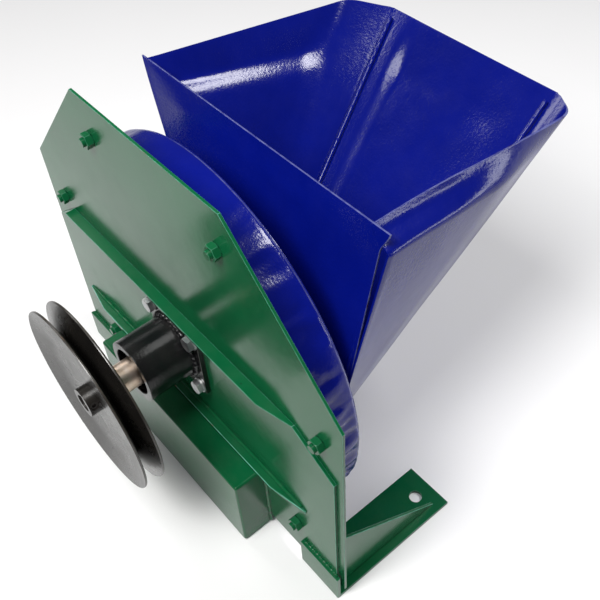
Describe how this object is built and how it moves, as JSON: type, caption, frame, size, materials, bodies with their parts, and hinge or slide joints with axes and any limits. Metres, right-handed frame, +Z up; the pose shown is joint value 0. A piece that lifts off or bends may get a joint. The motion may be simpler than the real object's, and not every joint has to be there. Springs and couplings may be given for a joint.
{
  "type": "fruit crusher",
  "caption": "Belt-driven disc crusher for fruit: funnel hopper on a shallow round drum, upright frame plate with feet, V-belt pulley on a bearing housing, discharge chute.",
  "frame": {"origin": "on the floor, midway between the two foot bolt holes", "axes": "+Z up, +Y from the pulley side back to the hopper along the shaft, +X to the right seen from the pulley side"},
  "size_m": [0.445, 0.462, 0.407],
  "materials": {
    "green_paint": "gloss green brush paint over sheet steel",
    "blue_paint": "gloss ultramarine paint over sheet steel",
    "housing_black": "gloss black enamel",
    "pulley_black": "satin black paint",
    "bright_zinc": "bright zinc plate",
    "yellow_zinc": "yellow passivated zinc on turned steel",
    "turned_steel": "turned",
    "spring_steel": "dark phosphated",
    "bearing_steel": "ground and polished",
    "seal_rubber": "matt",
    "stainless_steel": "mill finish",
    "knife_steel": "ground"
  },
  "bodies": {
    "frame": {"main_plate": "green_paint", "stiffener_plate": "green_paint", "lower_rib": "green_paint", "discharge_chute": "green_paint", "left_foot": "green_paint", "right_foot": "green_paint", "left_gusset": "green_paint", "right_gusset": "green_paint", "casing_wrapper": "blue_paint", "casing_lip": "blue_paint", "casing_back": "blue_paint", "casing_bolts": "green_paint", "casing_nuts": "green_paint", "hopper_front_wall": "blue_paint", "hopper_right_wall": "blue_paint", "hopper_back_wall": "blue_paint", "hopper_left_wall": "blue_paint", "bearing_housing": "housing_black", "housing_flange": "housing_black", "housing_circlip": "spring_steel", "housing_bolts": "bright_zinc", "housing_washers": "bright_zinc", "housing_nuts": "bright_zinc", "outer_spacer": "turned_steel", "front_bearing_outer_ring": "bearing_steel", "front_bearing_seals": "seal_rubber", "rear_bearing_outer_ring": "bearing_steel", "rear_bearing_seals": "seal_rubber"},
    "rotor": {"shaft": "turned_steel", "front_sleeve": "yellow_zinc", "rear_sleeve": "turned_steel", "inner_spacer": "turned_steel", "front_bearing_inner_ring": "bearing_steel", "rear_bearing_inner_ring": "bearing_steel", "pulley_key": "turned_steel", "disc_key": "turned_steel", "pulley_front_disc": "pulley_black", "pulley_back_disc": "pulley_black", "pulley_hub": "pulley_black", "pulley_set_screw": "spring_steel", "cutting_disc": "stainless_steel", "disc_hub": "stainless_steel", "cutting_knives": "knife_steel", "knife_screws": "stainless_steel", "disc_washer": "bright_zinc", "disc_nut": "bright_zinc"},
    "front_ball_set": {"front_bearing_balls": "bearing_steel", "front_bearing_cage": "bearing_steel"},
    "rear_ball_set": {"rear_bearing_balls": "bearing_steel", "rear_bearing_cage": "bearing_steel"}
  },
  "joints": [
    {"name": "shaft_spin", "type": "hinge", "parent": "frame", "child": "rotor", "pos_m": [0.003, -0.123, 0.187], "axis": [0, 1, 0], "continuous": true},
    {"name": "front_balls_spin", "type": "hinge", "parent": "frame", "child": "front_ball_set", "pos_m": [0.003, -0.163, 0.187], "axis": [0, 1, 0], "continuous": true},
    {"name": "rear_balls_spin", "type": "hinge", "parent": "frame", "child": "rear_ball_set", "pos_m": [0.003, -0.133, 0.187], "axis": [0, 1, 0], "continuous": true}
  ],
  "couplings": [
    {"joint": "front_balls_spin", "follows": "shaft_spin", "ratio": 0.3815},
    {"joint": "rear_balls_spin", "follows": "shaft_spin", "ratio": 0.3815}
  ]
}
